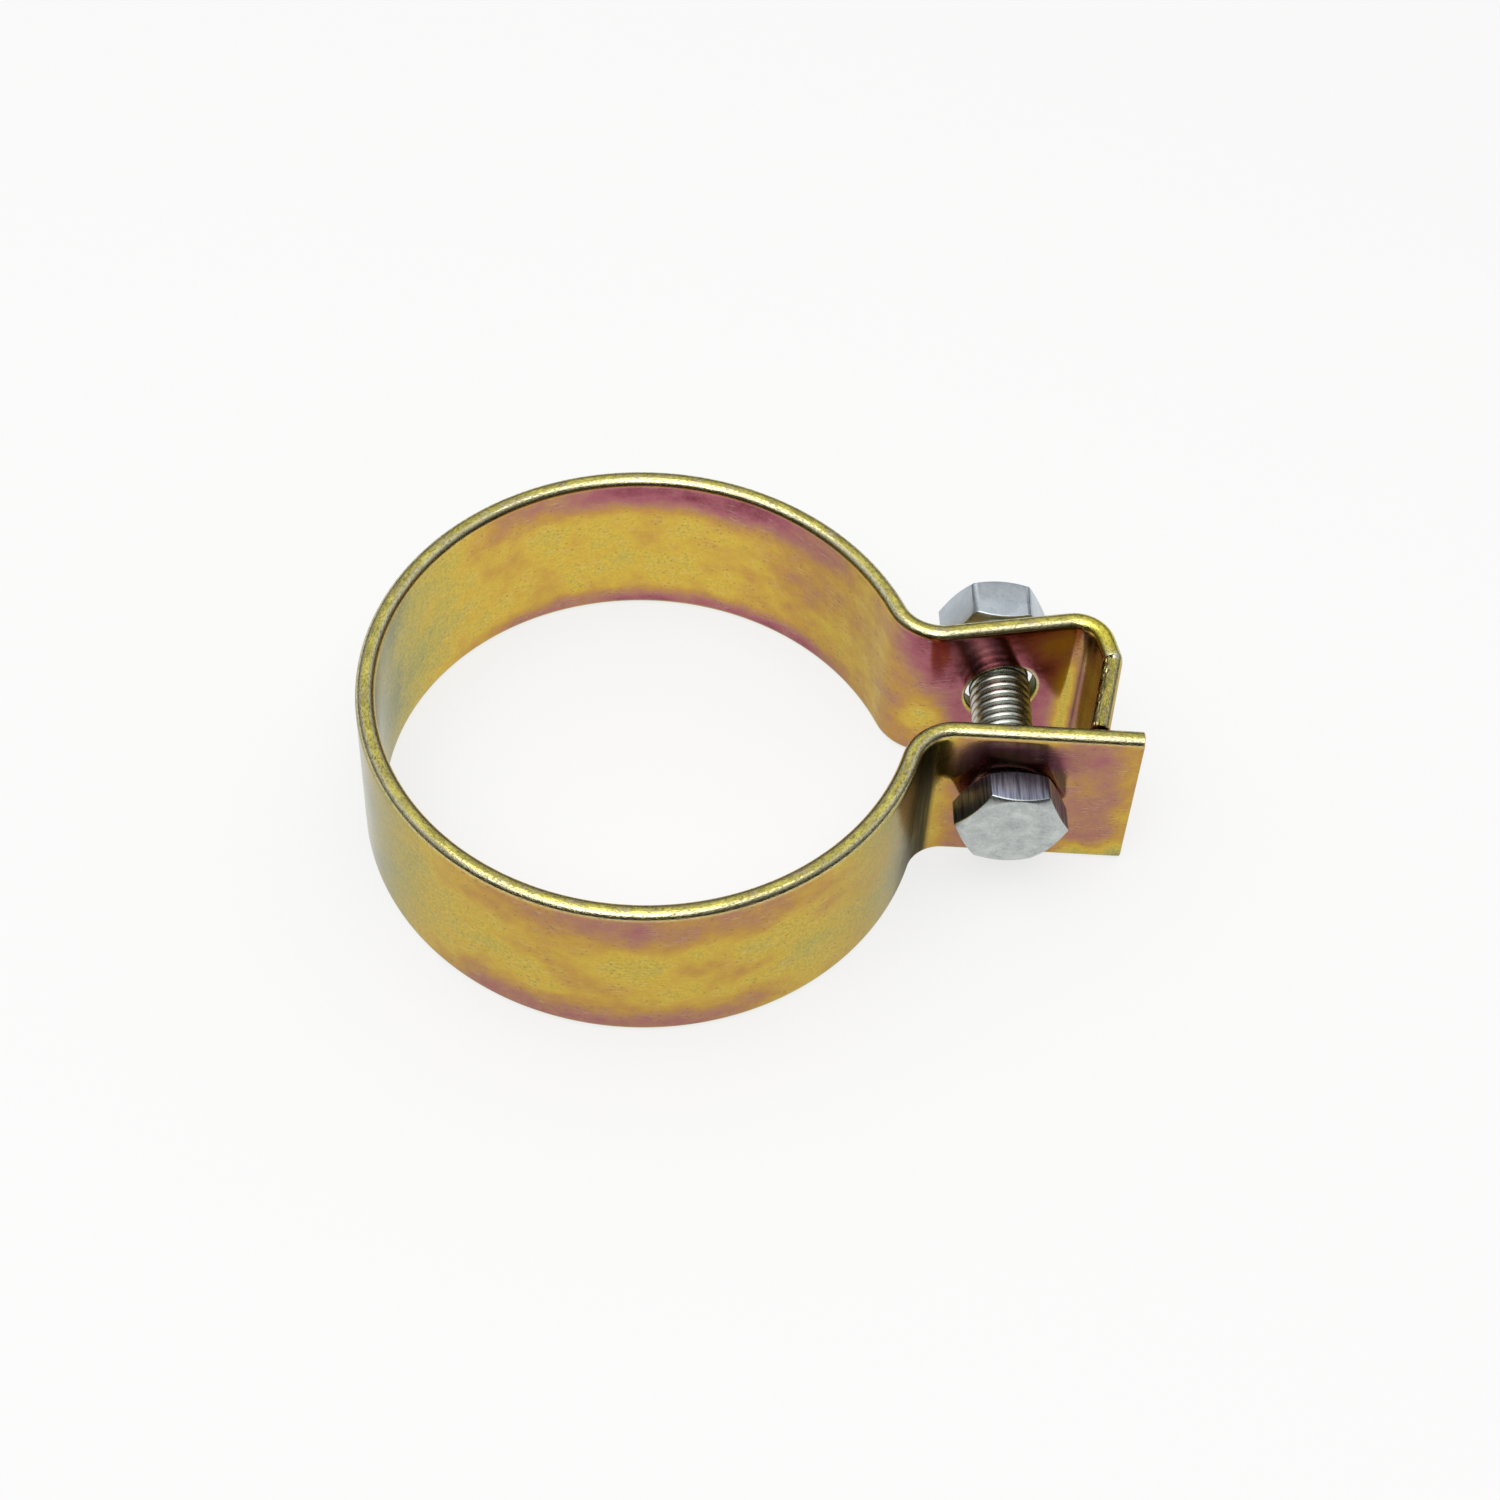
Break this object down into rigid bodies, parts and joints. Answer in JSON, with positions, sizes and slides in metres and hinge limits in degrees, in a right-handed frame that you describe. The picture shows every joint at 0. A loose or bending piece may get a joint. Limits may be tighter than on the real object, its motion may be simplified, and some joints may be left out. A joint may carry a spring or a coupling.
{
  "type": "exhaust clamp",
  "caption": "Band clamp for an exhaust pipe joint: a bent plated steel strip with two ears, closed by a hexagon bolt and nut.",
  "frame": {"origin": "centre of the pipe seat, half way along the strip's width", "axes": "+Z along the pipe, +X from the pipe's axis towards the ears, bolt along Y with its head on the -Y side"},
  "size_m": [0.0996, 0.073, 0.025],
  "materials": {
    "plated_strip": "glossy yellow-chromated zinc plate, gold to olive with pink and purple bands",
    "bolt_zinc": "bright zinc plate",
    "nut_zinc": "bright zinc plate"
  },
  "bodies": {
    "band": {"clamp_band": "plated_strip"},
    "bolt": {"hex_bolt": "bolt_zinc"},
    "nut": {"hex_nut": "nut_zinc"}
  },
  "joints": [
    {"name": "bolt_turn", "type": "hinge", "parent": "band", "child": "bolt", "pos_m": [0.047, 0, 0], "axis": [0, -1, 0], "range_deg": [-1116, 1080]},
    {"name": "nut_travel", "type": "slide", "parent": "band", "child": "nut", "axis": [0, 1, 0], "range_m": [-0.00388, 0.00376]}
  ],
  "couplings": [
    {"joint": "nut_travel", "follows": "bolt_turn", "m_per_rad": 0.00019894}
  ]
}
